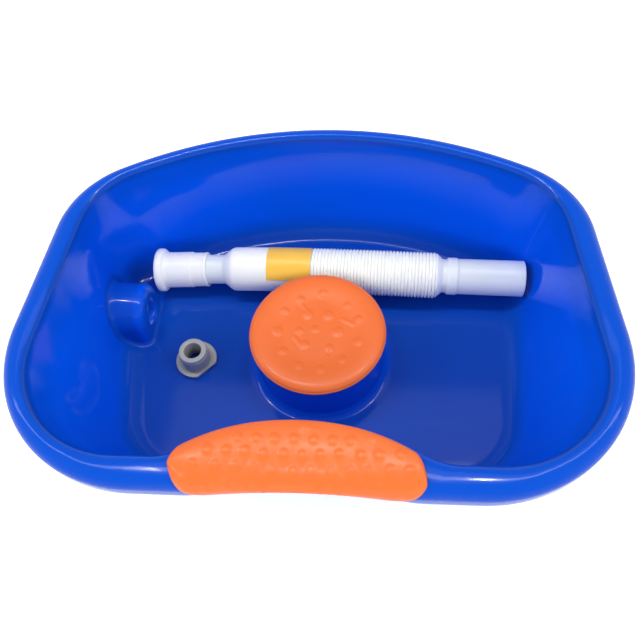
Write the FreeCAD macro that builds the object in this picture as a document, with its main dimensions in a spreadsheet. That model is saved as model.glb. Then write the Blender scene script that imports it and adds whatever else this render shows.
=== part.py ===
import FreeCAD, Part
import math
import os
import Sketcher

# Portable shampoo basin: moulded shell, two soft pads, drain spigot and a loose ribbed drain hose.
# Millimetres. X to the right, Y from the neck to the back, Z up, origin under the middle of the rim.

doc = FreeCAD.newDocument("shampoo_basin")

# Driving dimensions
DRIVING = (
    ("rim_width", 560, "widest part of the rim"),
    ("rim_depth", 404, "front of the rim to its back"),
    ("rim_height", 151, "table to the top of the rim"),
    ("rim_corner_front", 138, "front corner radius of the rim"),
    ("rim_corner_back", 100, "back corner radius of the rim"),
    ("rim_bow", 443, "radius of the bowed back edge"),
    ("rim_taper", 4.8, "degrees that each side narrows to the back"),
    ("rim_side", 24, "rim seen from above at the sides"),
    ("rim_back", 17, "rim seen from above at the back"),
    ("rim_front", 28, "rim seen from above at the front"),
    ("rim_skirt", 20, "height of the turned-down edge"),
    ("rim_crown_across", 14, "width of the rounded outer edge"),
    ("rim_crown_down", 9, "height of the rounded outer edge"),
    ("rim_lip", 6, "rounding where the rim turns into the basin"),
    ("rim_notch", 6, "hollow of the rim's front edge at the neck"),
    ("rim_notch_radius", 700, "radius of that hollow"),
    ("rim_notch_blend", 150, "radius that eases into the hollow"),
    ("wall", 3, "moulded wall"),
    ("mouth_corner_front", 98, "front corner radius of the opening"),
    ("mouth_corner_back", 80, "back corner radius of the opening"),
    ("neck_reach", 37.5, "how far the neck saddle reaches into the basin"),
    ("neck_radius", 177, "radius of the saddle's inner edge"),
    ("neck_blend", 60, "radius that eases into the saddle"),
    ("neck_dip", 10, "saddle below the rim"),
    ("neck_half", 115, "half length of the dip"),
    ("floor_thick", 3, "floor"),
    ("floor_half", 214, "half width of the floor at its front corners"),
    ("floor_front", 158, "middle of the basin to the front wall at the floor"),
    ("floor_back", 174, "middle of the basin to the back wall at the floor"),
    ("floor_corner_front", 80, "front corner radius of the floor"),
    ("floor_corner_back", 45, "back corner radius of the floor"),
    ("floor_bow", 430, "radius of the floor's back edge"),
    ("floor_flare_left", 10, "degrees that the floor's left side widens to the back, at the drain"),
    ("floor_flare_right", 5.6, "degrees that the floor's right side widens to the back"),
    ("floor_neck_reach", 36, "reach of the saddle at the floor"),
    ("floor_neck_radius", 187, "radius of the saddle at the floor"),
    ("floor_neck_blend", 50, "radius that eases into the saddle at the floor"),
    ("floor_round", 24, "rounding between floor and wall"),
    ("foot_height", 3, "foot ring"),
    ("foot_inset", 26, "floor edge to the outside of the foot ring"),
    ("foot_width", 8, "width of the foot ring"),
    ("pedestal_y", -8, "middle of the pedestal"),
    ("pedestal_foot", 154, "diameter of the pedestal's spread foot"),
    ("pedestal_foot_height", 7, "height of the pedestal's spread foot"),
    ("pedestal_base", 142, "pedestal diameter at the floor"),
    ("pedestal_top", 126, "pedestal diameter at its top"),
    ("pedestal_height", 44, "pedestal above the floor"),
    ("headrest_diameter", 141.6, "round head pad"),
    ("headrest_thick", 16, "round head pad"),
    ("headrest_round", 5, "eased edges of the head pad"),
    ("headrest_dish", 2.5, "hollow of the head pad's top"),
    ("neckpad_thick", 4, "neck pad over the rim"),
    ("neckpad_inset", 2, "neck pad back from the saddle's inner edge"),
    ("neckpad_end", 18, "rounding of the neck pad's ends"),
    ("neckpad_drop", 16, "how far the neck pad wraps down the front"),
    ("pocket_end", 197, "middle of the basin to the drain pocket's end wall"),
    ("pocket_y", 37.5, "middle of the drain pocket"),
    ("pocket_axis", 20, "drain hole above the floor"),
    ("pocket_radius", 31.5, "arched top of the drain pocket"),
    ("pocket_round", 6, "eased edge of the pocket's end"),
    ("part_margin", 1, "pocket and pedestal to where they part from the walls and floor"),
    ("drain_hole", 33, "drain hole diameter"),
    ("spigot_x", -141, "where the loose spigot stands"),
    ("spigot_y", -15.5, "where the loose spigot stands"),
    ("spigot_turn", -45, "degrees to the flat of its flange"),
    ("flange_lip", 6.5, "flange past the drain hole, all round"),
    ("spigot_flange_thick", 4, "flange"),
    ("flat_clearance", 1, "flat of the flange above the floor, once fitted"),
    ("spigot_height", 24, "flange and stem"),
    ("spigot_bore", 19, "bore diameter"),
    ("stem_clearance", 0.5, "stem in the drain hole, each side"),
    ("hose_past", 0.5, "drain pocket's end wall to the mouth of the hose's cuff"),
    ("hose_y", 93, "middle of the mouth of the hose's cuff"),
    ("hose_yaw", -1.59, "degrees that the hose turns to the front"),
    ("hose_rise", 1.09, "degrees that the hose climbs to its tail"),
    ("floor_gap", 0.3, "loose pieces above what they lie on"),
    ("lip_diameter", 51, "flared mouth of the cuff"),
    ("lip_length", 16, "flared mouth of the cuff"),
    ("cuff_length", 25.8, "cuff body"),
    ("cuff_step", 1.25, "cuff body past its narrower end, all round"),
    ("grip_diameter", 39.5, "narrower end of the cuff"),
    ("grip_length", 18.1, "narrower end of the cuff"),
    ("cuff_wall", 2.5, "cuff wall at its narrower end"),
    ("mouth_fit", 0.2, "spigot's stem in the cuff's mouth, each side"),
    ("neck_fit", 0.2, "hose neck in the cuff, each side"),
    ("neck_inserted", 22, "hose neck inside the cuff"),
    ("neck_length", 20.3, "hose neck that shows"),
    ("hose_wall", 2, "hose wall"),
    ("cone_length", 10.8, "cone from the neck to the sleeve"),
    ("sleeve_diameter", 51, "smooth sleeve"),
    ("sleeve_length", 89.7, "smooth sleeve"),
    ("label_start", 39, "start of the sleeve to the wrap"),
    ("label_length", 50.2, "wrap on the sleeve"),
    ("label_thick", 0.4, "wrap on the sleeve"),
    ("label_gap", 0.05, "wrap on the sleeve"),
    ("rib_count", 34, "ribs of the bellows"),
    ("rib_pitch", 4.2, "rib to rib"),
    ("rib_diameter", 52, "bellows over the ribs"),
    ("rib_root", 46.2, "bellows between the ribs"),
    ("bellows_wall", 1.6, "bellows wall between the ribs"),
    ("tail_cone", 7.9, "cone from the bellows"),
    ("tail_neck", 4.6, "narrow ring before the collar"),
    ("tail_neck_diameter", 38, "narrow ring before the collar"),
    ("collar_diameter", 42, "collar of the tail pipe"),
    ("collar_length", 13.3, "collar of the tail pipe"),
    ("tail_diameter", 40, "tail pipe"),
    ("tail_length", 72.2, "tail pipe"),
)

sizes = doc.addObject("Spreadsheet::Sheet", "sizes")
for row, (alias, value, meaning) in enumerate(DRIVING, start=1):
    sizes.set("A%d" % row, meaning)
    sizes.set("B%d" % row, str(value))
    sizes.setAlias("B%d" % row, alias)
doc.recompute()


def size(alias):
    return float(getattr(sizes, alias))


def up(x, y, z):
    return FreeCAD.Vector(x, y, z)


# Outlines: a rounded D with tangent lines and arcs, whose front edge swells inwards at the neck


def polar(centre, radius, degrees):
    turn = math.radians(degrees)
    return (centre[0] + radius * math.cos(turn), centre[1] + radius * math.sin(turn))


def outline(form, inset, height):
    front = form["front"] - inset
    back = form["back"] - inset
    corner_front = form["corner_front"] - inset
    corner_back = form["corner_back"] - inset
    bow = form["bow"] - inset
    neck = form["neck_radius"] + inset
    blend = form["neck_blend"] - inset

    neck_centre = (0.0, form["neck_reach"] - front - neck)
    blend_y = blend - front
    blend_x = math.sqrt((neck + blend) ** 2 - (blend_y - neck_centre[1]) ** 2)
    neck_angle = math.degrees(math.atan2(blend_y - neck_centre[1], blend_x))
    corner = (form["half"] - form["corner_front"], form["corner_front"] - form["front"])
    bow_centre = (0.0, back - bow)

    def arc(centre, radius, start, end):
        return [polar(centre, radius, angle) for angle in (start, (start + end) / 2, end)]

    def flank(taper):
        # one side from the neck to the bow, and the angle where it meets the bow
        side_start = polar(corner, corner_front, taper)
        along = (-math.sin(math.radians(taper)), math.cos(math.radians(taper)))
        # the back corner's centre lies one corner radius inside the side and inside the bow
        base = polar(side_start, corner_back, taper + 180)
        offset = (base[0] - bow_centre[0], base[1] - bow_centre[1])
        lean = offset[0] * along[0] + offset[1] * along[1]
        rest = offset[0] ** 2 + offset[1] ** 2 - (bow - corner_back) ** 2
        run = math.sqrt(lean ** 2 - rest) - lean
        back_corner = (base[0] + run * along[0], base[1] + run * along[1])
        bow_angle = math.degrees(math.atan2(back_corner[1] - bow_centre[1], back_corner[0]))
        return bow_angle, [
            arc((blend_x, blend_y), blend, neck_angle + 180, 270),
            [(blend_x, -front), (corner[0], -front)],
            arc(corner, corner_front, 270, 360 + taper),
            [side_start, (side_start[0] + run * along[0], side_start[1] + run * along[1])],
            arc(back_corner, corner_back, taper, bow_angle),
        ]

    right_angle, right = flank(form["taper_right"])
    left_angle, mirrored = flank(form["taper_left"])
    left = [[(-x, y) for x, y in reversed(points)] for points in reversed(mirrored)]
    runs = [arc(neck_centre, neck, 180 - neck_angle, neck_angle)] + right
    runs += [arc(bow_centre, bow, right_angle, 180 - left_angle)] + left
    edges = []
    for points in runs:
        corners = [up(x, y, height) for x, y in points]
        curve = Part.Arc(*corners) if len(corners) == 3 else Part.LineSegment(*corners)
        edges.append(curve.toShape())
    return Part.Wire(edges)


def stacked(name, form, sections):
    # closed solid through outlines given as inset and height, or as an outline of another form
    wires = []
    for section in sections:
        shape = section[2] if len(section) > 2 else form
        wires.append(outline(shape, section[0], section[1]))
    solid = doc.addObject("Part::Feature", name)
    solid.Shape = Part.makeLoft(wires, True, True)
    return solid


def combine(kind, name, base, tool):
    joined = doc.addObject(kind, name)
    joined.Base = base
    joined.Tool = tool
    return joined


def cut(name, base, tool):
    return combine("Part::Cut", name, base, tool)


def fuse(name, base, tool):
    return combine("Part::Fuse", name, base, tool)


def common(name, base, tool):
    return combine("Part::Common", name, base, tool)


wall = size("wall")
top = size("rim_height")
front = size("rim_depth") / 2
floor_under = size("foot_height")
floor_top = floor_under + size("floor_thick")

rim_form = {
    "half": size("rim_width") / 2,
    "front": front,
    "back": front,
    "corner_front": size("rim_corner_front"),
    "corner_back": size("rim_corner_back"),
    "bow": size("rim_bow"),
    "taper_left": size("rim_taper"),
    "taper_right": size("rim_taper"),
    "neck_reach": size("rim_notch"),
    "neck_radius": size("rim_notch_radius"),
    "neck_blend": size("rim_notch_blend"),
}
mouth_form = {
    "half": rim_form["half"] - size("rim_side"),
    "front": front - size("rim_front"),
    "back": front - size("rim_back"),
    "corner_front": size("mouth_corner_front"),
    "corner_back": size("mouth_corner_back"),
    "bow": size("rim_bow") - size("rim_back"),
    "taper_left": size("rim_taper"),
    "taper_right": size("rim_taper"),
    "neck_reach": size("neck_reach"),
    "neck_radius": size("neck_radius"),
    "neck_blend": size("neck_blend"),
}
floor_form = {
    "half": size("floor_half"),
    "front": size("floor_front"),
    "back": size("floor_back"),
    "corner_front": size("floor_corner_front"),
    "corner_back": size("floor_corner_back"),
    "bow": size("floor_bow"),
    "taper_left": -size("floor_flare_left"),
    "taper_right": -size("floor_flare_right"),
    "neck_reach": size("floor_neck_reach"),
    "neck_radius": size("floor_neck_radius"),
    "neck_blend": size("floor_neck_blend"),
}

# Shell: walls, floor and rim

ROUND_STEPS = (0, 30, 60, 90)


def bowl_sections(offset, base):
    # rounding from the floor into the wall, then the straight wall up to the mouth
    radius = size("floor_round")
    steps = []
    for angle in ROUND_STEPS:
        turn = math.radians(angle)
        steps.append((radius * (1 - math.sin(turn)) - offset, base + radius * (1 - math.cos(turn))))
    return steps


lip = size("rim_lip")
lip_start = top - lip - 2
over = top + lip
cavity = stacked("cavity", floor_form, bowl_sections(0, floor_top) + [
    (0, lip_start, mouth_form),
    (-lip * 0.3, top - lip * 0.5, mouth_form),
    (-lip, top, mouth_form),
    (-lip, over, mouth_form),
])
bowl = stacked("bowl", floor_form, bowl_sections(wall, floor_under) + [
    (-wall, lip_start, mouth_form),
    (-wall - lip * 0.3, top - wall, mouth_form),
])


def rim_sections(thick, lift):
    # turned-down edge and rounded crown, drawn in by a wall thickness where asked
    across = size("rim_crown_across")
    down = size("rim_crown_down")
    steps = [(thick, top - size("rim_skirt") + lift)]
    for angle in ROUND_STEPS:
        turn = math.radians(angle)
        inset = across * (1 - math.cos(turn)) + thick * math.cos(turn)
        steps.append((inset, top - down + (down - thick) * math.sin(turn)))
    return steps


rim = stacked("rim", rim_form, rim_sections(0, 0))
rim_inside = stacked("rim_inside", rim_form, rim_sections(wall, -wall))


def saddle(name, lift):
    # everything above the dipped neck line, which is three tangent arcs across the front
    half = size("neck_half")
    dip = size("neck_dip")
    radius = (half ** 2 + dip ** 2) / (4 * dip)
    crest = top + lift
    lean = math.asin(half / 2 / radius) / 2
    ease_x = half - radius * math.sin(lean)
    ease_z = crest - radius * (1 - math.cos(lean))
    start_y = -front - wall
    shoulder = Part.Arc(up(-half, start_y, crest), up(-ease_x, start_y, ease_z),
                        up(-half / 2, start_y, crest - dip / 2))
    middle = Part.Arc(up(-half / 2, start_y, crest - dip / 2), up(0, start_y, crest - dip),
                      up(half / 2, start_y, crest - dip / 2))
    rise = Part.Arc(up(half / 2, start_y, crest - dip / 2), up(ease_x, start_y, ease_z),
                    up(half, start_y, crest))
    corners = [up(half, start_y, crest), up(half, start_y, over + lip), up(-half, start_y, over + lip),
               up(-half, start_y, crest)]
    edges = [shoulder.toShape(), middle.toShape(), rise.toShape()]
    for first, last in zip(corners, corners[1:]):
        edges.append(Part.LineSegment(first, last).toShape())
    above = doc.addObject("Part::Feature", name)
    reach = front - size("floor_front") + size("floor_neck_reach") + size("rim_front") + 2 * wall
    above.Shape = Part.Face(Part.Wire(edges)).extrude(up(0, reach, 0))
    return above


dip_cut = saddle("dip_cut", 0)
dip_under = saddle("dip_under", -wall)
outside = cut("outside", fuse("outside_full", rim, bowl), dip_cut)
under_rim = cut("under_rim", cut("under_rim_dipped", rim_inside, dip_under), bowl)
walls = cut("walls", cut("walls_solid", outside, under_rim), cavity)

# Shell: hollow pedestal and foot ring


def cone(name, base, tip, height, level):
    solid = doc.addObject("Part::Cone", name)
    solid.setExpression("Radius1", base)
    solid.setExpression("Radius2", tip)
    solid.setExpression("Height", height)
    solid.setExpression("Placement.Base.y", "sizes.pedestal_y")
    solid.setExpression("Placement.Base.z", level)
    return solid


MID_FLOOR = "sizes.foot_height + sizes.floor_thick / 2"
pedestal = cone("pedestal", "sizes.pedestal_base / 2", "sizes.pedestal_top / 2",
                "sizes.pedestal_height + sizes.floor_thick / 2", MID_FLOOR)
pedestal_inside = cone("pedestal_inside", "sizes.pedestal_base / 2 - sizes.wall",
                       "sizes.pedestal_top / 2 - sizes.wall",
                       "sizes.pedestal_height + sizes.floor_thick - sizes.wall", "sizes.foot_height")
pedestal_foot = cone("pedestal_foot", "sizes.pedestal_foot / 2",
                     "sizes.pedestal_base / 2 - sizes.wall / 2",
                     "sizes.pedestal_foot_height + sizes.floor_thick / 2", MID_FLOOR)
raised = fuse("raised", fuse("raised_foot", walls, pedestal_foot), pedestal)
with_pedestal = cut("with_pedestal", raised, pedestal_inside)

foot_inset = size("foot_inset")
mid_floor = (floor_under + floor_top) / 2
foot_outer = stacked("foot_outer", floor_form, [(foot_inset, 0), (foot_inset, mid_floor)])
foot_reach = foot_inset + size("foot_width")
foot_inner = stacked("foot_inner", floor_form, [(foot_reach, -floor_under), (foot_reach, floor_top)])
foot_ring = cut("foot_ring", foot_outer, foot_inner)
standing = fuse("standing", with_pedestal, foot_ring)

# Shell: drain pocket, an arch that runs in from the left wall and ends in the drain hole's wall

pocket_z = floor_top + size("pocket_axis")


def arch(name, radius, end, start, level, ease):
    y = size("pocket_y")
    crest = Part.Arc(up(end, y - radius, pocket_z), up(end, y, pocket_z + radius),
                     up(end, y + radius, pocket_z))
    corners = [up(end, y + radius, pocket_z), up(end, y + radius, level), up(end, y - radius, level),
               up(end, y - radius, pocket_z)]
    edges = [crest.toShape()]
    for first, last in zip(corners, corners[1:]):
        edges.append(Part.LineSegment(first, last).toShape())
    shape = Part.Face(Part.Wire(edges)).extrude(up(start - end, 0, 0))
    if ease > 0:
        on_end = [edge for edge in shape.Edges
                  if abs(edge.BoundBox.XLength) < 0.001 and abs(edge.BoundBox.XMin - end) < 0.001
                  and edge.BoundBox.ZMax > level + 0.001]
        shape = shape.makeFillet(ease, on_end)
    solid = doc.addObject("Part::Feature", name)
    solid.Shape = shape
    return solid


pocket_end = -size("pocket_end")
beyond = -size("rim_width") / 2 - wall
pocket = common("pocket", arch("pocket_arch", size("pocket_radius"), pocket_end, beyond,
                               mid_floor, size("pocket_round")), bowl)
tunnel = arch("tunnel", size("pocket_radius") - wall, pocket_end - wall, beyond, floor_top, 0)
drain = doc.addObject("Part::Cylinder", "drain")
drain.setExpression("Radius", "sizes.drain_hole / 2")
drain.setExpression("Height", "sizes.wall * 3")
drain.Placement.Rotation = FreeCAD.Rotation(up(0, 0, 1), up(1, 0, 0))
drain.setExpression("Placement.Base.x", "-sizes.pocket_end - sizes.wall * 2")
drain.setExpression("Placement.Base.y", "sizes.pocket_y")
drain.setExpression("Placement.Base.z", "sizes.foot_height + sizes.floor_thick + sizes.pocket_axis")
opened = cut("opened", fuse("with_pocket", standing, pocket), tunnel)
shell = cut("shell", opened, drain)

# Shell: five regions of the one moulding, parted where the form changes


def block(name, low, high):
    solid = doc.addObject("Part::Feature", name)
    solid.Shape = Part.makeBox(high[0] - low[0], high[1] - low[1], high[2] - low[2], up(*low))
    return solid


def ring_zone(name, radius, height):
    solid = doc.addObject("Part::Cylinder", name)
    solid.setExpression("Radius", radius)
    solid.setExpression("Height", height)
    solid.setExpression("Placement.Base.y", "sizes.pedestal_y")
    solid.setExpression("Placement.Base.z", "-sizes.wall")
    return solid


def part_off(name, base, zone):
    return common(name, base, zone), cut(name + "_rest", base, zone)


outer = size("rim_width") / 2 + wall
margin = size("part_margin")
reach = size("pocket_radius") + margin
rim_zone = block("rim_zone", (-outer, -outer, top - size("rim_skirt") - margin), (outer, outer, over))
pedestal_zone = ring_zone("pedestal_zone", "sizes.pedestal_foot / 2 + sizes.part_margin",
                          "sizes.rim_height - sizes.rim_skirt")
pocket_zone = block("pocket_zone", (-outer, size("pocket_y") - reach, -wall),
                    (pocket_end + margin, size("pocket_y") + reach, pocket_z + reach))
floor_inset = size("floor_round") * 0.8
floor_zone = stacked("floor_zone", floor_form, [(floor_inset, -wall), (floor_inset, floor_top + wall)])
basin_rim, below_rim = part_off("basin_rim", shell, rim_zone)
pedestal_cup, around_cup = part_off("pedestal_cup", below_rim, pedestal_zone)
drain_pocket, around_pocket = part_off("drain_pocket", around_cup, pocket_zone)
basin_floor, basin_walls = part_off("basin_floor", around_pocket, floor_zone)

# Neck pad: a skin over the dipped rim, inside a lens with rounded ends

neckpad_thick = size("neckpad_thick")
neckpad_over = stacked("neckpad_over", rim_form, rim_sections(-neckpad_thick, -wall))
neckpad_dipped = cut("neckpad_dipped", neckpad_over, saddle("neckpad_dip", neckpad_thick))


def lens(name):
    end = size("neckpad_end")
    inner = size("neck_radius") - size("neckpad_inset")
    centre = (0.0, size("neck_reach") - mouth_form["front"] - size("neck_radius"))
    end_y = end - front
    end_x = math.sqrt((inner - end) ** 2 - (end_y - centre[1]) ** 2)
    meet = math.degrees(math.atan2(end_y - centre[1], end_x))
    level = top - size("neckpad_drop")
    runs = [
        [polar(centre, inner, angle) for angle in (180 - meet, 90, meet)],
        [polar((end_x, end_y), end, angle) for angle in (meet, (meet - 90) / 2, -90)],
        [(end_x, -front), (-end_x, -front)],
        [polar((-end_x, end_y), end, angle) for angle in (270, (450 - meet) / 2, 180 - meet)],
    ]
    edges = []
    for points in runs:
        corners = [up(x, y, level) for x, y in points]
        curve = Part.Arc(*corners) if len(corners) == 3 else Part.LineSegment(*corners)
        edges.append(curve.toShape())
    solid = doc.addObject("Part::Feature", name)
    solid.Shape = Part.Face(Part.Wire(edges)).extrude(up(0, 0, over - level))
    return solid


neck_pad = cut("neck_pad", common("neckpad_skin", neckpad_dipped, lens("neckpad_lens")), outside)

# Turned pieces: each corner of the profile is placed by two formulas


def turned(name, axis, corners):
    body = doc.addObject("PartDesign::Body", name)
    sketch = body.newObject("Sketcher::SketchObject", name + "_profile")
    plane = [part for part in body.Origin.OriginFeatures if part.Role == "XZ_Plane"][0]
    sketch.AttachmentSupport = [(plane, "")]
    sketch.MapMode = "FlatFace"
    count = len(corners)
    guess = [polar((200, 200), 100, 360.0 * index / count) for index in range(count)]
    for index in range(count):
        first = up(guess[index][0], guess[index][1], 0)
        last = up(guess[(index + 1) % count][0], guess[(index + 1) % count][1], 0)
        sketch.addGeometry(Part.LineSegment(first, last), False)
    for index in range(count):
        sketch.addConstraint(Sketcher.Constraint("Coincident", index, 2, (index + 1) % count, 1))
    for index in range(count):
        for kind, start, formula in zip(("DistanceX", "DistanceY"), guess[index], corners[index]):
            number = sketch.addConstraint(Sketcher.Constraint(kind, -1, 1, index, 1, start))
            sketch.setExpression("Constraints[%d]" % number, formula)
    turn = body.newObject("PartDesign::Revolution", name + "_turn")
    turn.Profile = sketch
    turn.ReferenceAxis = (sketch, [axis])
    turn.Angle = 360
    body.Tip = turn
    return body


headrest_pad = turned("headrest_pad", "V_Axis", [
    ("0", "0"),
    ("sizes.headrest_diameter / 2 - sizes.headrest_round", "0"),
    ("sizes.headrest_diameter / 2", "sizes.headrest_round"),
    ("sizes.headrest_diameter / 2", "sizes.headrest_thick - sizes.headrest_round"),
    ("sizes.headrest_diameter / 2 - sizes.headrest_round", "sizes.headrest_thick"),
    ("sizes.headrest_diameter / 2 - sizes.headrest_round * 2", "sizes.headrest_thick"),
    ("sizes.headrest_diameter / 4", "sizes.headrest_thick - sizes.headrest_dish"),
    ("0", "sizes.headrest_thick - sizes.headrest_dish"),
])
headrest_pad.setExpression("Placement.Base.y", "sizes.pedestal_y")
headrest_pad.setExpression("Placement.Base.z",
                           "sizes.foot_height + sizes.floor_thick + sizes.pedestal_height")

STEM = "sizes.drain_hole / 2 - sizes.stem_clearance"
FLANGE = "(sizes.drain_hole / 2 + sizes.flange_lip)"
FLAT = "(sizes.pocket_axis - sizes.flat_clearance)"
drain_spigot = turned("drain_spigot", "V_Axis", [
    ("sizes.spigot_bore / 2", "0"),
    (FLANGE, "0"),
    (FLANGE, "sizes.spigot_flange_thick"),
    (STEM, "sizes.spigot_flange_thick"),
    (STEM, "sizes.spigot_height"),
    ("sizes.spigot_bore / 2", "sizes.spigot_height"),
])
flat_sketch = drain_spigot.newObject("Sketcher::SketchObject", "flat_outline")
ground = [part for part in drain_spigot.Origin.OriginFeatures if part.Role == "XY_Plane"][0]
flat_sketch.AttachmentSupport = [(ground, "")]
flat_sketch.MapMode = "FlatFace"
FLAT_CORNERS = (
    (FLAT, "-2 * " + FLANGE),
    ("2 * " + FLANGE, "-2 * " + FLANGE),
    ("2 * " + FLANGE, "2 * " + FLANGE),
    (FLAT, "2 * " + FLANGE),
)
flat_guess = [(20, -40), (40, -40), (40, 40), (20, 40)]
for index in range(4):
    here = flat_guess[index]
    there = flat_guess[(index + 1) % 4]
    flat_sketch.addGeometry(Part.LineSegment(up(here[0], here[1], 0), up(there[0], there[1], 0)), False)
for index in range(4):
    flat_sketch.addConstraint(Sketcher.Constraint("Coincident", index, 2, (index + 1) % 4, 1))
for index in range(4):
    for kind, start, formula in zip(("DistanceX", "DistanceY"), flat_guess[index], FLAT_CORNERS[index]):
        number = flat_sketch.addConstraint(Sketcher.Constraint(kind, -1, 1, index, 1, start))
        flat_sketch.setExpression("Constraints[%d]" % number, formula)
flat = drain_spigot.newObject("PartDesign::Pocket", "flange_flat")
flat.Profile = flat_sketch
flat.Type = "Length"
flat.setExpression("Length", "sizes.spigot_flange_thick")
flat.Reversed = True
drain_spigot.Tip = flat
drain_spigot.Placement.Rotation = FreeCAD.Rotation(up(0, 0, 1), size("spigot_turn"))
drain_spigot.setExpression("Placement.Base.x", "sizes.spigot_x")
drain_spigot.setExpression("Placement.Base.y", "sizes.spigot_y")
drain_spigot.setExpression("Placement.Base.z", "sizes.foot_height + sizes.floor_thick + sizes.floor_gap")

# Hose: every piece lies along one axis that starts at the cuff's mouth

hose_turn = FreeCAD.Rotation(size("hose_yaw"), -size("hose_rise"), 0)
hose_mouth = up(pocket_end + size("hose_past"), size("hose_y"),
                floor_top + size("floor_gap") + size("lip_diameter") / 2)
hose_place = FreeCAD.Placement(hose_mouth, hose_turn)

CUFF_END = "(sizes.lip_length + sizes.cuff_length + sizes.grip_length)"
CUFF_BODY = "(sizes.grip_diameter / 2 + sizes.cuff_step)"
CUFF_BORE = "(sizes.grip_diameter / 2 - sizes.cuff_wall)"
CUFF_MOUTH = "(" + STEM + " + sizes.mouth_fit)"
NECK_START = "(" + CUFF_END + " - sizes.neck_inserted)"
CUFF_STOP = "(" + NECK_START + " - sizes.neck_fit)"
NECK_OUT = "(" + CUFF_BORE + " - sizes.neck_fit)"
NECK_END = "(" + CUFF_END + " + sizes.neck_length)"
SLEEVE_START = "(" + NECK_END + " + sizes.cone_length)"
SLEEVE_END = "(" + SLEEVE_START + " + sizes.sleeve_length)"
TAIL_START = "(" + SLEEVE_END + " + sizes.rib_count * sizes.rib_pitch)"
TAIL_CONE = "(" + TAIL_START + " + sizes.tail_cone)"
COLLAR_START = "(" + TAIL_CONE + " + sizes.tail_neck)"
COLLAR_END = "(" + COLLAR_START + " + sizes.collar_length)"
TAIL_END = "(" + COLLAR_END + " + sizes.tail_length)"
HOSE_BORE = "(sizes.rib_root / 2 - sizes.bellows_wall)"
SLEEVE_BORE = "(sizes.sleeve_diameter / 2 - sizes.hose_wall)"
SLEEVE_BACK = "(" + SLEEVE_END + " - sizes.hose_wall)"
TAIL_BORE = "(sizes.tail_diameter / 2 - sizes.hose_wall)"
TAIL_THROAT = "(sizes.tail_neck_diameter / 2 - sizes.hose_wall)"

hose_cuff = turned("hose_cuff", "H_Axis", [
    ("0", CUFF_MOUTH),
    ("0", "sizes.lip_diameter / 2"),
    ("sizes.lip_length * 0.4", "sizes.lip_diameter / 2"),
    ("sizes.lip_length", CUFF_BODY),
    ("sizes.lip_length + sizes.cuff_length", CUFF_BODY),
    ("sizes.lip_length + sizes.cuff_length", "sizes.grip_diameter / 2"),
    (CUFF_END, "sizes.grip_diameter / 2"),
    (CUFF_END, CUFF_BORE),
    (CUFF_STOP, CUFF_BORE),
    (CUFF_STOP, CUFF_MOUTH),
])
hose_neck = turned("hose_neck", "H_Axis", [
    (NECK_START, NECK_OUT + " - sizes.hose_wall"),
    (NECK_START, NECK_OUT),
    (NECK_END, NECK_OUT),
    (SLEEVE_START, "sizes.sleeve_diameter / 2"),
    (SLEEVE_END, "sizes.sleeve_diameter / 2"),
    (SLEEVE_END, HOSE_BORE),
    (SLEEVE_BACK, HOSE_BORE),
    (SLEEVE_BACK, SLEEVE_BORE),
    (SLEEVE_START, SLEEVE_BORE),
    (NECK_END, NECK_OUT + " - sizes.hose_wall"),
])
hose_tail = turned("hose_tail", "H_Axis", [
    (TAIL_START, HOSE_BORE),
    (TAIL_START, "sizes.rib_root / 2"),
    (TAIL_CONE, "sizes.tail_neck_diameter / 2"),
    (COLLAR_START, "sizes.tail_neck_diameter / 2"),
    (COLLAR_START, "sizes.collar_diameter / 2"),
    (COLLAR_END, "sizes.collar_diameter / 2"),
    (COLLAR_END, "sizes.tail_diameter / 2"),
    (TAIL_END, "sizes.tail_diameter / 2"),
    (TAIL_END, TAIL_BORE),
    (COLLAR_END, TAIL_BORE),
    (COLLAR_START, TAIL_THROAT),
    (TAIL_CONE, TAIL_THROAT),
])
LABEL_START = SLEEVE_START + " + sizes.label_start"
LABEL_INSIDE = "sizes.sleeve_diameter / 2 + sizes.label_gap"
hose_label = turned("hose_label", "H_Axis", [
    (LABEL_START, LABEL_INSIDE),
    (LABEL_START, LABEL_INSIDE + " + sizes.label_thick"),
    (LABEL_START + " + sizes.label_length", LABEL_INSIDE + " + sizes.label_thick"),
    (LABEL_START + " + sizes.label_length", LABEL_INSIDE),
])

# Bellows: each rib is four circles, root, crest, crest and root
sleeve_end = (size("lip_length") + size("cuff_length") + size("grip_length") + size("neck_length")
              + size("cone_length") + size("sleeve_length"))
pitch = size("rib_pitch")
RIB_PROFILE = ((0.0, "rib_root"), (0.3, "rib_diameter"), (0.6, "rib_diameter"), (0.9, "rib_root"))
rings = []
for rib in range(int(size("rib_count"))):
    for share, diameter in RIB_PROFILE:
        middle = up(sleeve_end + (rib + share) * pitch, 0, 0)
        rings.append(Part.Wire(Part.Circle(middle, up(1, 0, 0), size(diameter) / 2).toShape()))
bellows_end = sleeve_end + size("rib_count") * pitch
rings.append(Part.Wire(Part.Circle(up(bellows_end, 0, 0), up(1, 0, 0), size("rib_root") / 2).toShape()))
bore = Part.makeCylinder(size("rib_root") / 2 - size("bellows_wall"), bellows_end - sleeve_end + 2 * wall,
                         up(sleeve_end - wall, 0, 0), up(1, 0, 0))
hose_bellows = doc.addObject("Part::Feature", "hose_bellows")
hose_bellows.Shape = Part.makeLoft(rings, True, True).cut(bore)

for piece in (hose_cuff, hose_neck, hose_bellows, hose_tail, hose_label):
    piece.Placement = hose_place

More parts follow.
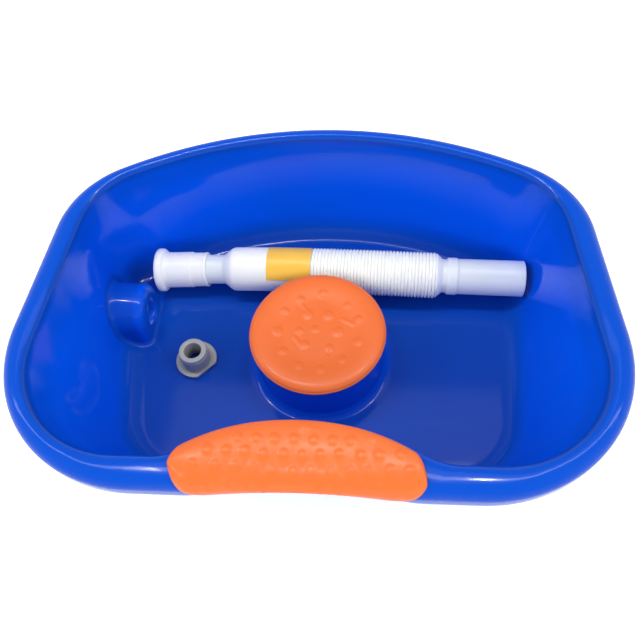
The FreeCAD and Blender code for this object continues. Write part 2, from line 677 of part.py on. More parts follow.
PIECES = (
    (basin_rim, "basin_rim"),
    (basin_walls, "basin_walls"),
    (basin_floor, "basin_floor"),
    (pedestal_cup, "pedestal_cup"),
    (drain_pocket, "drain_pocket"),
    (neck_pad, "neck_pad"),
    (headrest_pad, "headrest_pad"),
    (drain_spigot, "drain_spigot"),
    (hose_cuff, "hose_cuff"),
    (hose_neck, "hose_neck"),
    (hose_bellows, "hose_bellows"),
    (hose_tail, "hose_tail"),
    (hose_label, "hose_label"),
)
for piece, label in PIECES:
    piece.Label = label

doc.recompute()
for item in doc.Objects:
    if "Invalid" in item.State or "Error" in item.State:
        raise RuntimeError("failed: " + item.Name)
os.makedirs("parts", exist_ok=True)
for piece, label in PIECES:
    shape = piece.Shape
    if shape.isNull() or not shape.isValid() or shape.Volume <= 0:
        raise RuntimeError("bad shape: " + label)
    print(label, "solids", len(shape.Solids), "volume cm3 %.2f" % (shape.Volume / 1000))
for piece, label in PIECES:
    piece.Shape.exportStep("parts/" + label + ".step")
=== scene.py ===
import math
import bmesh
import bpy
import numpy as np
from mathutils import Matrix, Vector, kdtree


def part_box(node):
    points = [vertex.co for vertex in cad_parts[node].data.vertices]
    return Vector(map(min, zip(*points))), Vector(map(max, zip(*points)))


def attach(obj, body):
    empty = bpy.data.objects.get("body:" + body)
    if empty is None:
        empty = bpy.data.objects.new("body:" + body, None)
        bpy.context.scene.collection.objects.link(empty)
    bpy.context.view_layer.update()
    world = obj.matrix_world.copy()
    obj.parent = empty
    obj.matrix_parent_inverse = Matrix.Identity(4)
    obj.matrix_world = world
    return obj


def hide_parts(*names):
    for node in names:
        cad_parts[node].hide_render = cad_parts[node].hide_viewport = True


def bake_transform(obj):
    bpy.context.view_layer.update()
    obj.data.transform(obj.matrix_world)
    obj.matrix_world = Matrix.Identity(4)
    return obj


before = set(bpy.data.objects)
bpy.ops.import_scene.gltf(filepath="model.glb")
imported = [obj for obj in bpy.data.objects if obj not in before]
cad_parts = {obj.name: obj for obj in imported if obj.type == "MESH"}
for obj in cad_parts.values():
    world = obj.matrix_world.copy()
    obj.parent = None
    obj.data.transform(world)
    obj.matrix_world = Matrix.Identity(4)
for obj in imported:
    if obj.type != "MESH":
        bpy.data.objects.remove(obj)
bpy.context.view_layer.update()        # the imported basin, which nothing below moves
mm = 0.001               # the part's sizes are in millimetres
rng = np.random.default_rng(7)     # the same dots on each run

# Camera

viewpoint = dict(
    eye=(50.17, -337.85, 645.09),
    forward=(-0.07281, 0.50779, -0.8584),
    right=(0.99724, 0.04962, -0.05523),
    lens=36.0, sensor=36.0,
)


def newObject(name, data):
    holder = bpy.data.objects.new(name, data)
    bpy.context.scene.collection.objects.link(holder)
    return holder


def addCamera():
    camera = newObject("camera", bpy.data.cameras.new("camera"))
    forward = Vector(viewpoint["forward"]).normalized()
    right = Vector(viewpoint["right"])
    right = (right - forward * right.dot(forward)).normalized()
    turn = Matrix((right, right.cross(forward), -forward)).transposed()
    camera.matrix_world = Matrix.Translation(Vector(viewpoint["eye"]) * mm) @ turn.to_4x4()
    camera.data.sensor_width = viewpoint["sensor"]
    camera.data.lens = viewpoint["lens"]
    bpy.context.scene.camera = camera


addCamera()
bpy.context.scene.view_settings.view_transform = "Standard"
print("camera placed")

# Mesh helpers


def newPiece(name, points, faces):
    mesh = bpy.data.meshes.new(name)
    mesh.from_pydata((np.reshape(points, (-1, 3)) * mm).tolist(), [], faces)
    work = bmesh.new()
    work.from_mesh(mesh)
    bmesh.ops.recalc_face_normals(work, faces=work.faces)
    work.to_mesh(mesh)
    work.free()
    return newObject(name, mesh)


def smooth(piece, angle=40):
    piece.data.shade_smooth()
    piece.data.set_sharp_from_angle(angle=math.radians(angle))
    return piece


def gridFaces(rows, columns, loopRows=False, loopColumns=True):
    lastRow = rows if loopRows else rows - 1
    lastColumn = columns if loopColumns else columns - 1
    row, column = np.meshgrid(np.arange(lastRow), np.arange(lastColumn), indexing="ij")
    nextRow = (row + 1) % rows
    nextColumn = (column + 1) % columns
    corners = (row * columns + column, row * columns + nextColumn,
               nextRow * columns + nextColumn, nextRow * columns + column)
    return np.stack(corners, axis=-1).reshape(-1, 4).tolist()


def eased(corners, steps=5, closed=False):
    # corners are (along, out, rounding); each rounding is a curve between its two edges
    points = []
    count = len(corners)
    for index, (along, out, rounding) in enumerate(corners):
        here = np.array((along, out), float)
        if rounding == 0 or (not closed and index in (0, count - 1)):
            points.append(here)
            continue
        before = np.array(corners[index - 1][:2]) - here
        after = np.array(corners[(index + 1) % count][:2]) - here
        start = here + before * rounding / np.linalg.norm(before)
        end = here + after * rounding / np.linalg.norm(after)
        for share in np.linspace(0, 1, steps + 1):
            points.append(start * (1 - share) ** 2 + here * 2 * share * (1 - share) + end * share ** 2)
    return np.array(points)


def step(value, low, high):
    share = np.clip((value - low) / (high - low), 0, 1)
    return share * share * (3 - 2 * share)


def unit(vectors):
    return vectors / np.maximum(np.linalg.norm(vectors, axis=-1, keepdims=True), 1e-6)


def fullTurn(count):
    return np.linspace(0, 2 * np.pi, count, endpoint=False)


def nearestTree(points):
    tree = kdtree.KDTree(len(points))
    for index, place in enumerate(points):
        tree.insert(place, index)
    tree.balance()
    return tree


# Hose route: its points, given one by one, in a NURBS curve

hoseRoute = ((-196.5, 90.8, 31.9), (-137.0, 91.8, 33.0), (-75.0, 91.9, 34.2), (-10.0, 89.6, 35.4),
             (70.0, 85.9, 36.8), (140.0, 81.6, 37.9), (224.2, 78.0, 39.2))


def routeLine(points):
    curve = bpy.data.curves.new("hoseRoute", "CURVE")
    curve.dimensions = "3D"
    spline = curve.splines.new("NURBS")
    spline.points.add(len(points) - 1)
    for control, place in zip(spline.points, points):
        control.co = (*(Vector(place) * mm), 1.0)
    spline.order_u = 3
    spline.use_endpoint_u = True
    spline.resolution_u = 40
    holder = bpy.data.objects.new("hoseRoute", curve)
    line = bpy.data.meshes.new_from_object(holder)
    places = np.array([vertex.co for vertex in line.vertices]) / mm
    bpy.data.objects.remove(holder)
    bpy.data.curves.remove(curve)
    bpy.data.meshes.remove(line)
    return places


hoseLine = routeLine(hoseRoute)
hoseReach = np.concatenate(([0], np.cumsum(np.linalg.norm(np.diff(hoseLine, axis=0), axis=1))))
hoseWay = np.gradient(hoseLine, hoseReach, axis=0)


def alongHose(stations):
    places, way = (np.stack([np.interp(stations, hoseReach, values) for values in line.T], axis=-1)
                   for line in (hoseLine, hoseWay))
    way = unit(way)
    front = unit(np.cross(way, (0, 0, 1)))
    return places, front, np.cross(front, way)


def hoseRings(profile, turns):
    # one ring for each (station, radius), turned from the front side (0) to the top (90)
    places, front, top = alongHose(profile[:, 0])
    spokes = np.cos(turns)[:, None] * front[:, None] + np.sin(turns)[:, None] * top[:, None]
    return places[:, None] + profile[:, 1:, None] * spokes


def finer(profile, gap=6.0):
    # more points on the long stretches, so that they bend with the route
    points = [profile[0]]
    for start, end in zip(profile[:-1], profile[1:]):
        count = math.ceil(np.linalg.norm(end - start) / gap)
        points += [start + (end - start) * (k + 1) / count for k in range(count)]
    return np.array(points)


def turnedOnHose(name, profile, around=72):
    profile = finer(profile)
    rings = hoseRings(profile, fullTurn(around))
    return newPiece(name, rings, gridFaces(len(profile), around, loopRows=True))


# Hose: neck, sleeve, bellows and tail pipe, moulded in one

hose = dict(
    inserted=37.9, neckFrom=59.9, neckTo=80.2, sleeveFrom=91.0, ribsFrom=183.4, ribs=37, ribPitch=3.787,
    coneTo=331.4, collarFrom=336.0, collarTo=347.6, end=421.5,
    neckOut=17.05, sleeveOut=25.5, ribOut=26.0, ribRoot=23.5, ringOut=19.0, collarOut=21.0, tailOut=20.0,
    wall=2.0, ribWall=1.6, ribFull=0.65, ribSteps=(0.0, 0.16, 0.30, 0.40, 0.50, 0.60, 0.70, 0.84),
)
hose["end"] = min(hose["end"], hoseReach[-1])
hose["ribsTo"] = hose["ribsFrom"] + hose["ribs"] * hose["ribPitch"]


def ribProfile():
    # rounded crests with a narrow valley between them
    h = hose
    points = []
    for rib in range(h["ribs"]):
        for share in h["ribSteps"]:
            rise = (h["ribOut"] - h["ribRoot"]) * math.sin(math.pi * share) ** h["ribFull"]
            points.append((h["ribsFrom"] + (rib + share) * h["ribPitch"], h["ribRoot"] + rise))
    return np.array(points)


def makeHose():
    h = hose
    start = eased((
        (h["inserted"], h["neckOut"], 0), (h["neckFrom"], h["neckOut"], 0),
        (h["neckTo"], h["neckOut"], 2.5), (h["sleeveFrom"], h["sleeveOut"], 3.5),
        (h["ribsFrom"] - 1.2, h["sleeveOut"], 0.8), (h["ribsFrom"] - 0.6, h["ribRoot"], 0)))
    tail = eased((
        (h["ribsTo"], h["ribRoot"], 0), (h["ribsTo"] + 0.9, h["ribOut"] - 0.6, 0.6),
        (h["coneTo"], h["ringOut"], 1.2), (h["collarFrom"], h["ringOut"], 0.5),
        (h["collarFrom"] + 1.4, h["collarOut"], 0.8), (h["collarTo"], h["collarOut"], 0.9),
        (h["collarTo"] + 1.0, h["tailOut"], 0.4),
        (h["end"] - 0.2, h["tailOut"], 0.6), (h["end"], h["tailOut"] - 0.5 * h["wall"], 0.3),
        (h["end"] - 0.2, h["tailOut"] - h["wall"], 0)))
    inside = np.array((
        (h["collarTo"], h["tailOut"] - h["wall"]), (h["collarFrom"], h["ringOut"] - h["wall"]),
        (h["coneTo"], h["ringOut"] - h["wall"]), (h["ribsTo"], h["ribRoot"] - h["ribWall"]),
        (h["ribsFrom"], h["ribRoot"] - h["ribWall"]),
        (h["ribsFrom"] - 2, h["sleeveOut"] - h["wall"]), (h["sleeveFrom"], h["sleeveOut"] - h["wall"]),
        (h["neckTo"], h["neckOut"] - h["wall"]), (h["inserted"], h["neckOut"] - h["wall"])))
    piece = turnedOnHose("drainHose", np.concatenate((start, ribProfile(), tail, inside)))
    return smooth(piece, 50)


drainHose = makeHose()
print("hose made")

# Cuff on the end of the hose

cuff = dict(
    end=59.9, lipOut=25.5, bead=8.6, lipTo=14.5, bodyOut=20.8, bodyTo=41.8, gripOut=19.75,
    mouthBore=16.2, stop=37.7, neckBore=17.25,
)


def makeCuff():
    c = cuff
    profile = eased((
        (0.0, c["mouthBore"], 1.0), (0.0, c["lipOut"], 3.4), (c["bead"], c["lipOut"], 3.4),
        (c["bead"] + 1.2, c["bodyOut"] + 0.6, 1.0), (c["lipTo"], c["bodyOut"], 2.6),
        (c["bodyTo"], c["bodyOut"], 0.6), (c["bodyTo"] + 0.7, c["gripOut"] + 0.2, 0.4),
        (c["end"] - 3.4, c["gripOut"], 0.4), (c["end"] - 2.8, c["gripOut"] + 0.4, 0.3),
        (c["end"], c["gripOut"] + 0.4, 0.8), (c["end"], c["neckBore"], 0.4),
        (c["stop"], c["neckBore"], 0.2), (c["stop"], c["mouthBore"], 0.3)), closed=True)
    return smooth(turnedOnHose("hoseCuff", profile))


hoseCuff = makeCuff()

# Plain film round the sleeve

wrap = dict(
    start=132.6, end=182.8, lift=0.06, thick=0.3, frontEdge=26.0, backEdge=250.0, columns=72, rows=12,
)


def makeWrap():
    w = wrap
    turns = np.radians(np.linspace(w["frontEdge"], w["backEdge"], w["columns"]))
    low = hose["sleeveOut"] + w["lift"]
    high = low + w["thick"]
    stations = np.linspace(w["start"], w["end"], w["rows"])
    stations = np.concatenate((stations, stations[::-1]))
    profile = np.column_stack((stations, np.repeat((high, low), w["rows"])))
    rings = hoseRings(profile, turns)
    count = len(profile)
    faces = gridFaces(count, w["columns"], loopRows=True, loopColumns=False)
    for column in (0, w["columns"] - 1):
        for row in range(w["rows"] - 1):
            corners = (row, row + 1, count - 2 - row, count - 1 - row)
            faces.append([corner * w["columns"] + column for corner in corners])
    return smooth(newPiece("hoseWrap", rings, faces))


hoseWrap = makeWrap()
print("cuff and wrap made")

# Basin outlines: a rounded D whose front swells inwards at the neck, sampled run by run

rimLow, rimHigh = (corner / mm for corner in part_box("basin_rim"))
basin = dict(
    top=rimHigh.z, skirt=20.0, crownAcross=15.0, crownDown=10.0, lip=12.0, lipDown=6.0, topLean=6.0,
    wall=3.0, dip=10.0, dipHalf=115.0, dipFront=-60.0, dipFoot=50.0, floorTop=6.0, floorUnder=3.0,
    floorRound=24.0, filletWeight=0.72, footInset=26.0, footWidth=8.0, pedestalY=-8.0, pedestalTop=50.0,
    pedestalRadius=65.2, pedestalFoot=70.2, pedestalFlare=84.0, hollowFoot=68.3, hollowHead=60.0,
    crownShare=0.6, lipShare=0.97,
)
rimForm = dict(
    half=rimHigh.x, front=-rimLow.y, back=-rimLow.y, cornerFront=138.0, cornerBack=100.0, bow=443.0,
    taperRight=4.8, taperLeft=4.8, neckReach=6.0, neckRadius=700.0, neckBlend=150.0)
mouthForm = dict(
    half=rimForm["half"] - 24.0, front=rimForm["front"] - 28.0, back=rimForm["back"] - 17.0,
    cornerFront=98.0, cornerBack=80.0, bow=rimForm["bow"] - 17.0, taperRight=4.8, taperLeft=4.8,
    neckReach=37.5, neckRadius=177.0, neckBlend=60.0)
floorForm = dict(
    half=214.0, front=158.0, back=174.0, cornerFront=80.0, cornerBack=45.0, bow=430.0,
    taperRight=-5.6, taperLeft=-10.0, neckReach=36.0, neckRadius=187.0, neckBlend=50.0)
runSamples = dict(neck=48, blend=12, front=10, cornerFront=40, side=44, cornerBack=30, bow=84)
leftSide = 96            # the left side is finer, because the drain pocket is pressed out of it


def polar(centre, radius, degrees):
    turn = np.radians(degrees)
    return np.stack((centre[0] + radius * np.cos(turn), centre[1] + radius * np.sin(turn)), axis=-1)


def arcRun(centre, radius, start, end):
    return lambda share: polar(centre, radius, start + (end - start) * share)


def lineRun(start, end):
    return lambda share: np.outer(1 - share, start) + np.outer(share, end)


def outline(form, inset):
    front, blend, bow, cornerFront, cornerBack = (
        form[key] - inset for key in ("front", "neckBlend", "bow", "cornerFront", "cornerBack"))
    neck = form["neckRadius"] + inset
    neckCentre = np.array((0.0, form["neckReach"] - front - neck))
    blendY = blend - front
    blendX = math.sqrt((neck + blend) ** 2 - (blendY - neckCentre[1]) ** 2)
    neckAngle = math.degrees(math.atan2(blendY - neckCentre[1], blendX))
    corner = np.array((form["half"] - form["cornerFront"], form["cornerFront"] - form["front"]))
    bowCentre = np.array((0.0, form["back"] - inset - bow))

    def flank(taper):
        sideStart = polar(corner, cornerFront, taper)
        along = polar((0, 0), 1, taper + 90)
        base = polar(sideStart, cornerBack, taper + 180)
        lean = np.dot(base - bowCentre, along)
        rest = np.dot(base - bowCentre, base - bowCentre) - (bow - cornerBack) ** 2
        run = math.sqrt(lean ** 2 - rest) - lean
        backCorner = base + run * along
        bowAngle = math.degrees(math.atan2(backCorner[1] - bowCentre[1], backCorner[0]))
        return bowAngle, (
            ("blend", arcRun((blendX, blendY), blend, neckAngle + 180, 270)),
            ("front", lineRun((blendX, -front), (corner[0], -front))),
            ("cornerFront", arcRun(corner, cornerFront, 270, 360 + taper)),
            ("side", lineRun(sideStart, sideStart + run * along)),
            ("cornerBack", arcRun(backCorner, cornerBack, taper, bowAngle)),
        )

    def sampled(run, count):
        return run(np.arange(count) / count)

    def mirrored(run, count):
        return run(1 - np.arange(count) / count) * (-1, 1)

    rightAngle, right = flank(form["taperRight"])
    leftAngle, left = flank(form["taperLeft"])
    parts = [sampled(arcRun(neckCentre, neck, 180 - neckAngle, neckAngle), runSamples["neck"])]
    parts += [sampled(run, runSamples[name]) for name, run in right]
    parts.append(sampled(arcRun(bowCentre, bow, rightAngle, 180 - leftAngle), runSamples["bow"]))
    for name, run in reversed(left):
        parts.append(mirrored(run, leftSide if name == "side" else runSamples[name]))
    return np.concatenate(parts)


def level(plan, height):
    return np.column_stack((plan, np.broadcast_to(height, len(plan))))


def neckDip(x, y):
    reach = np.clip(np.abs(x) / basin["dipHalf"], 0, 1)
    return np.where(y < basin["dipFront"], basin["dip"] * np.cos(np.pi / 2 * reach) ** 2, 0)


def dipped(ring, share):
    return ring - np.outer(neckDip(ring[:, 0], ring[:, 1]) * share, (0, 0, 1))


def dippedWall(ring):
    # the wall under the saddle sinks with it, less and less towards the floor
    return dipped(ring, step(ring[:, 2], basin["dipFoot"], basin["top"]))


def dippedSkirt(ring):
    # the turned-down edge keeps its lower end
    return dipped(ring, (ring[:, 2] - basin["top"] + basin["skirt"]) / basin["skirt"])


rimEdge = outline(rimForm, 0)
mouthEdge = outline(mouthForm, 0)
rimAcross = np.linalg.norm(mouthEdge - rimEdge, axis=1)
rimInward = (mouthEdge - rimEdge) / rimAcross[:, None]
crownAcross = np.minimum(basin["crownAcross"], basin["crownShare"] * rimAcross)
lipAcross = np.minimum(basin["lip"], basin["lipShare"] * (rimAcross - crownAcross))


def onRim(distance, height):
    distance = np.broadcast_to(distance, len(rimEdge))
    return level(rimEdge + rimInward * distance[:, None], height)


def blendRings(first, last, shares):
    return [first * (1 - share) + last * share for share in shares]


def filletRings(start, corner, end, count):
    rings = []
    for share in np.linspace(0, 1, count):
        weights = ((1 - share) ** 2, 2 * basin["filletWeight"] * share * (1 - share), share ** 2)
        rings.append((start * weights[0] + corner * weights[1] + end * weights[2]) / sum(weights))
    return rings


def wallLine(plan, low, mouth, high, base):
    # foot of the sloping wall, carried down to the base, and its head at the mouth
    foot = level(plan, low)
    head = level(mouth, high)
    return foot + (foot - head) * (low - base) / (high - low), head


def roundFloor(radius, height):
    plan = outline(floorForm, basin["floorRound"])
    turn = np.degrees(np.arctan2(plan[:, 1] - basin["pedestalY"], plan[:, 0]))
    return level(polar((0, basin["pedestalY"]), radius, turn), height)


def rimTop(share):
    # a low arch from the lip (0) to the crown (1), which goes on with their slopes
    b = basin
    lean = math.radians(b["topLean"])
    lipEnd = rimAcross - lipAcross * (1 - math.sin(lean))
    crownEnd = crownAcross * (1 - math.sin(lean))
    width = lipEnd - crownEnd
    lipHeight = b["top"] - b["lipDown"] * (1 - math.cos(lean))
    crownHeight = b["top"] - b["crownDown"] * (1 - math.cos(lean))
    lipSlope = b["lipDown"] / lipAcross * math.tan(lean)
    crownSlope = b["crownDown"] / crownAcross * math.tan(lean)
    arch = width * share * (1 - share) * (lipSlope * (1 - share) + crownSlope * share)
    return lipEnd - width * share, lipHeight + (crownHeight - lipHeight) * step(share, 0, 1) + arch


def insideRings():
    # from the middle of the pedestal over the floor, up the wall and over the rim
    b = basin
    base = b["floorTop"]
    pedestal = eased((
        (20, b["pedestalTop"], 0), (b["pedestalRadius"], b["pedestalTop"], 2.0),
        (b["pedestalFoot"], base + 5.5, 1.0), (b["pedestalFoot"] + 4.8, base, 4.4),
        (b["pedestalFlare"], base, 0)), steps=6)
    rings = [roundFloor(*place) for place in pedestal]
    rings[8:8] = blendRings(rings[7], rings[8], np.linspace(0, 1, 10)[1:-1])     # its side
    floorEdge = level(outline(floorForm, b["floorRound"]), base)
    floorShares = np.concatenate((np.linspace(0.06, 0.6, 9), np.linspace(0.62, 0.98, 19)))
    rings += blendRings(rings[-1], floorEdge, floorShares)
    corner, head = wallLine(outline(floorForm, 0), base + b["floorRound"], mouthEdge,
                            b["top"] - b["lipDown"], base)
    rise = (head[0, 2] - base) / b["floorRound"]
    wallStart = corner + (head - corner) / rise
    rings += filletRings(floorEdge, corner, wallStart, 11)
    wallShares = np.concatenate((np.linspace(0.02, 0.5, 26), np.linspace(0.56, 1.0, 9)))
    rings += [dippedWall(ring) for ring in blendRings(wallStart, head, wallShares)]
    for angle in np.radians(np.linspace(9, 90 - b["topLean"], 10)):
        distance = rimAcross - lipAcross * (1 - math.cos(angle))
        rings.append(dippedWall(onRim(distance, b["top"] - b["lipDown"] * (1 - math.sin(angle)))))
    for share in (0.2, 0.4, 0.6, 0.8):
        rings.append(dippedSkirt(onRim(*rimTop(share))))
    for angle in np.radians(np.linspace(90 - b["topLean"], 0, 11)):
        height = b["top"] - b["crownDown"] * (1 - math.sin(angle))
        rings.append(dippedSkirt(onRim(crownAcross * (1 - math.cos(angle)), height)))
    return rings


def edgeRings():
    # lower end of the turned-down edge, its inside and the underside of the rim
    b = basin
    low = b["top"] - b["skirt"]
    wall = b["wall"]
    corners = eased(((0, b["top"] - b["crownDown"] - 3, 0), (0, low, 1.2), (wall, low, 1.2),
                     (wall, b["top"] - b["crownDown"] - 2, 0)), steps=3)
    rings = [dippedSkirt(onRim(distance, height)) for distance, height in corners]
    for angle in np.radians((20, 45, 70, 90)):
        distance = wall + (crownAcross - wall) * (1 - math.cos(angle))
        height = b["top"] - b["crownDown"] - 2 + (b["crownDown"] + 2 - wall) * math.sin(angle)
        rings.append(dippedSkirt(onRim(distance, height)))
    rings.append(dippedSkirt(onRim(np.maximum(crownAcross, rimAcross - wall - 3), b["top"] - wall)))
    return rings


def outsideRings():
    # down the outside of the wall, under the floor and up into the hollow pedestal
    b = basin
    base = b["floorUnder"]
    corner, head = wallLine(outline(floorForm, -b["wall"]), base + b["floorRound"] + b["wall"],
                            outline(mouthForm, -b["wall"]), b["top"] - b["lipDown"] - 2, base)
    wallStart = corner + (head - corner) * b["floorRound"] / (head[0, 2] - base)
    wallShares = np.concatenate((np.linspace(0, 0.45, 7), np.linspace(0.48, 0.98, 26)))
    rings = [dippedWall(ring) for ring in blendRings(head, wallStart, wallShares)]
    floorEdge = level(outline(floorForm, b["floorRound"] - b["wall"]), base)
    rings += list(reversed(filletRings(floorEdge, corner, wallStart, 10)))
    footOut = b["footInset"]
    footIn = footOut + b["footWidth"]
    foot = eased(((footOut - 4, base, 0), (footOut, base, 0.8), (footOut, 0, 0.8), (footIn, 0, 0.8),
                  (footIn, base, 0.8), (footIn + 3, base, 0)), steps=3)
    rings += [level(outline(floorForm, inset), height) for inset, height in foot]
    roof = b["pedestalTop"] - b["wall"]
    hollow = eased((
        (74, base, 0), (b["hollowFoot"], base, 1.5), (b["hollowHead"], roof, 3.0), (15, roof, 0)), steps=4)
    rings += [roundFloor(*place) for place in hollow]
    return rings


# Drain pocket: an arch that pushes the left wall in, and a tunnel behind it

pocket = dict(
    end=-197.0, y=37.5, axis=26.0, radius=30.6, draft=0.07, spread=0.10, rounding=8.0, fillet=5.0,
    hidden=-285.0, below=-50.0, hole=16.5, holeEase=0.45, holeFlare=1.6, cutDepth=8.0, cutAround=64,
    tunnelRounding=2.0, tunnelEase=3.0, reachY=62.0, reachX=-150.0, reachZ=92.0, facing=(1, 0, 1),
    growSteps=28, settleSteps=26, evening=0.6, longestMove=4.0, nudge=0.05,
)


def archField(points, end, radius, rounding, low, grown):
    # signed distance to the arch, which comes out of its hiding place as grown goes to 1;
    # it widens a little to the wall and to the floor
    p = pocket
    reach = p["hidden"] + (end - p["hidden"]) * grown
    over = points[:, 2] - p["axis"]
    wide = radius + p["draft"] * np.maximum(end - points[:, 0], 0) + p["spread"] * np.maximum(-over, 0)
    sides = np.stack((np.hypot(points[:, 1] - p["y"], np.maximum(over, 0)) - wide, points[:, 0] - reach,
                      low - points[:, 2]), axis=-1) + rounding
    return np.linalg.norm(np.maximum(sides, 0), axis=1) + np.minimum(sides.max(axis=1), 0) - rounding


def pressed(sheet, field, fillet):
    # pushes a grid of wall points round the growing form, and keeps the grid even
    p = pocket
    normals = unit(np.cross(*np.gradient(sheet, axis=(0, 1))))
    if np.sum(normals * p["facing"]) < 0:
        normals = -normals
    base = sheet.reshape(-1, 3)
    normals = normals.reshape(-1, 3)
    tree = nearestTree(base)

    def surface(points, grown):
        nearest = [tree.find(place)[1] for place in points]
        wallGap = np.sum((points - base[nearest]) * normals[nearest], axis=1)
        formGap = field(points, grown)
        slope = np.stack([(field(points + nudge, grown) - field(points - nudge, grown)) / (2 * p["nudge"])
                          for nudge in np.eye(3) * p["nudge"]], axis=-1)
        share = np.clip(0.5 + 0.5 * (formGap - wallGap) / fillet, 0, 1)
        gap = formGap * (1 - share) + wallGap * share - fillet * share * (1 - share)
        direction = normals[nearest] * share[:, None] + slope * (1 - share[:, None])
        return gap, unit(direction)

    moved = sheet.copy()
    for turn in range(p["growSteps"] + p["settleSteps"]):
        grown = min(1.0, (turn + 1) / p["growSteps"])
        inner = moved[1:-1, 1:-1].reshape(-1, 3)
        around = moved[:-2, 1:-1] + moved[2:, 1:-1] + moved[1:-1, :-2] + moved[1:-1, 2:]
        direction = surface(inner, grown)[1]
        pull = around.reshape(-1, 3) / 4 - inner
        pull -= direction * np.sum(pull * direction, axis=1, keepdims=True)
        inner = inner + p["evening"] * pull
        for repeat in range(2):
            gap, direction = surface(inner, grown)
            inner = inner - direction * np.clip(gap, -p["longestMove"], p["longestMove"])[:, None]
        moved[1:-1, 1:-1] = inner.reshape(moved[1:-1, 1:-1].shape)
    return moved


def pressPocket(rings, end, radius, rounding, low, fillet):
    # the part of the left wall and floor round the pocket
    p = pocket
    grid = np.array(rings)
    fromMiddle = np.abs(outline(floorForm, 0)[:, 1] - p["y"])
    columns = np.flatnonzero((rimEdge[:, 0] < 0) & (fromMiddle < p["reachY"]))
    middle = grid[:, columns[len(columns) // 2]]
    rows = np.flatnonzero((middle[:, 0] < p["reachX"]) & (middle[:, 2] < p["reachZ"]))
    window = np.s_[rows[0]:rows[-1] + 1, columns[0]:columns[-1] + 1]

    def field(points, grown):
        return archField(points, end, radius, rounding, low, grown)

    grid[window] = pressed(grid[window], field, fillet)
    return list(grid)


def cutDrain(shell):
    # eased hole through the end wall of the pocket
    p = pocket
    flare = p["holeFlare"]
    around = p["cutAround"]
    profile = ((p["end"] - p["cutDepth"], p["hole"]), (p["end"] - flare, p["hole"]),
               (p["end"], p["hole"] + p["holeEase"]), (p["end"] + flare, p["hole"] + 2 * flare))
    points = [(x, p["y"] + radius * math.cos(turn), p["axis"] + radius * math.sin(turn))
              for x, radius in profile for turn in fullTurn(around)]
    faces = gridFaces(len(profile), around)
    faces += [list(range(around)), list(range(len(points) - around, len(points)))]
    cutter = newPiece("drainCutter", points, faces)
    cut = shell.modifiers.new("drain", "BOOLEAN")
    cut.object = cutter
    cut.operation = "DIFFERENCE"
    cut.solver = "EXACT"
    bpy.context.view_layer.update()
    opened = bpy.data.meshes.new_from_object(shell.evaluated_get(bpy.context.evaluated_depsgraph_get()))
    shell.modifiers.clear()
    shell.data = opened
    bpy.data.objects.remove(cutter)


def makeShell():
    p = pocket
    wall = basin["wall"]
    inside = pressPocket(insideRings(), p["end"], p["radius"], p["rounding"], p["below"], p["fillet"])
    outside = pressPocket(outsideRings(), p["end"] - wall, p["radius"] - wall, p["tunnelRounding"],
                          basin["floorTop"], p["tunnelEase"])
    rings = np.array(inside + edgeRings() + outside)
    rows, around = rings.shape[:2]
    points = np.concatenate((rings.reshape(-1, 3), [rings[0].mean(axis=0)], [rings[-1].mean(axis=0)]))
    faces = gridFaces(rows, around)
    last = (rows - 1) * around
    for column in range(around):
        following = (column + 1) % around
        faces.append([column, following, rows * around])
        faces.append([last + following, last + column, rows * around + 1])
    shell = newPiece("basinShell", points, faces)
    cutDrain(shell)
    return smooth(shell, 38)


# painted light and shade on the shell: where the painted light through the wall, the shoulder highlight and
# the shade under the lip fall
paintedLightMarks = dict(
    wallRise=(7, 34), pocketClear=(1, 12), pocket=0.28, pocketEdge=(0.5, 4),
    shoulder=0.9, shoulderIn=(-18, -5), shoulderOut=(-5, 1), shoulderEdge=(0.5, 3),
    pedestal=0.4, pedestalEdge=(74, 84), pedestalReach=92, facing=(0.3, 0.7),
    underLipShade=0.3, fadeRise=(104, 132), lip=(4, 9), rim=0.35, rimRise=(100, 128),
)


def paintLightAndShade(shell):
    # painted light and shade: 1 where light comes through the thin wall, low on the pedestal, pocket and
    # rim, 0 on the floor, which is painted shade; a painted highlight on the pocket's shoulder and painted
    # shade under the lip go in too
    m = paintedLightMarks
    p = pocket
    places = np.array([vertex.co for vertex in shell.data.vertices]) / mm
    normals = np.array([vertex.normal for vertex in shell.data.vertices])
    x, y, z = places.T
    gap = archField(places, p["end"], p["radius"], p["rounding"], p["below"], 1.0)
    paintedLight = step(z, *m["wallRise"]) * step(gap, *m["pocketClear"])
    paintedLight = np.maximum(paintedLight, m["pocket"] * (1 - step(gap, *m["pocketEdge"])))
    # painted highlight: a lighter band on the pocket's rounded shoulder, where a reflection falls
    shoulder = step(x - p["end"], *m["shoulderIn"]) * (1 - step(x - p["end"], *m["shoulderOut"]))
    paintedLight = np.maximum(paintedLight, m["shoulder"] * shoulder * (1 - step(gap, *m["shoulderEdge"])))
    fromPedestal = np.hypot(x, y - basin["pedestalY"])
    pedestal = m["pedestal"] * (1 - step(fromPedestal, *m["pedestalEdge"]))
    paintedLight = np.where(fromPedestal < m["pedestalReach"], pedestal, paintedLight)
    inward = step(-np.sum(normals[:, :2] * unit(places[:, :2]), axis=1), *m["facing"])
    # painted shade: the inner wall darker under the lip and on the lip's inner roll, and less painted light
    # on the rim
    belowTop = basin["top"] - neckDip(x, y) - z
    wall = (1 - m["underLipShade"] * step(z, *m["fadeRise"])) * step(belowTop, *m["lip"])
    upper = inward * wall + (1 - inward) * m["rim"]
    rise = step(z, *m["rimRise"])
    paintedLight *= 1 - rise + rise * upper
    # the mark holds painted light and painted shade for the shell's colour
    mark = shell.data.attributes.new("paintedLight", "FLOAT", "POINT")
    mark.data.foreach_set("value", paintedLight.astype(np.float32))


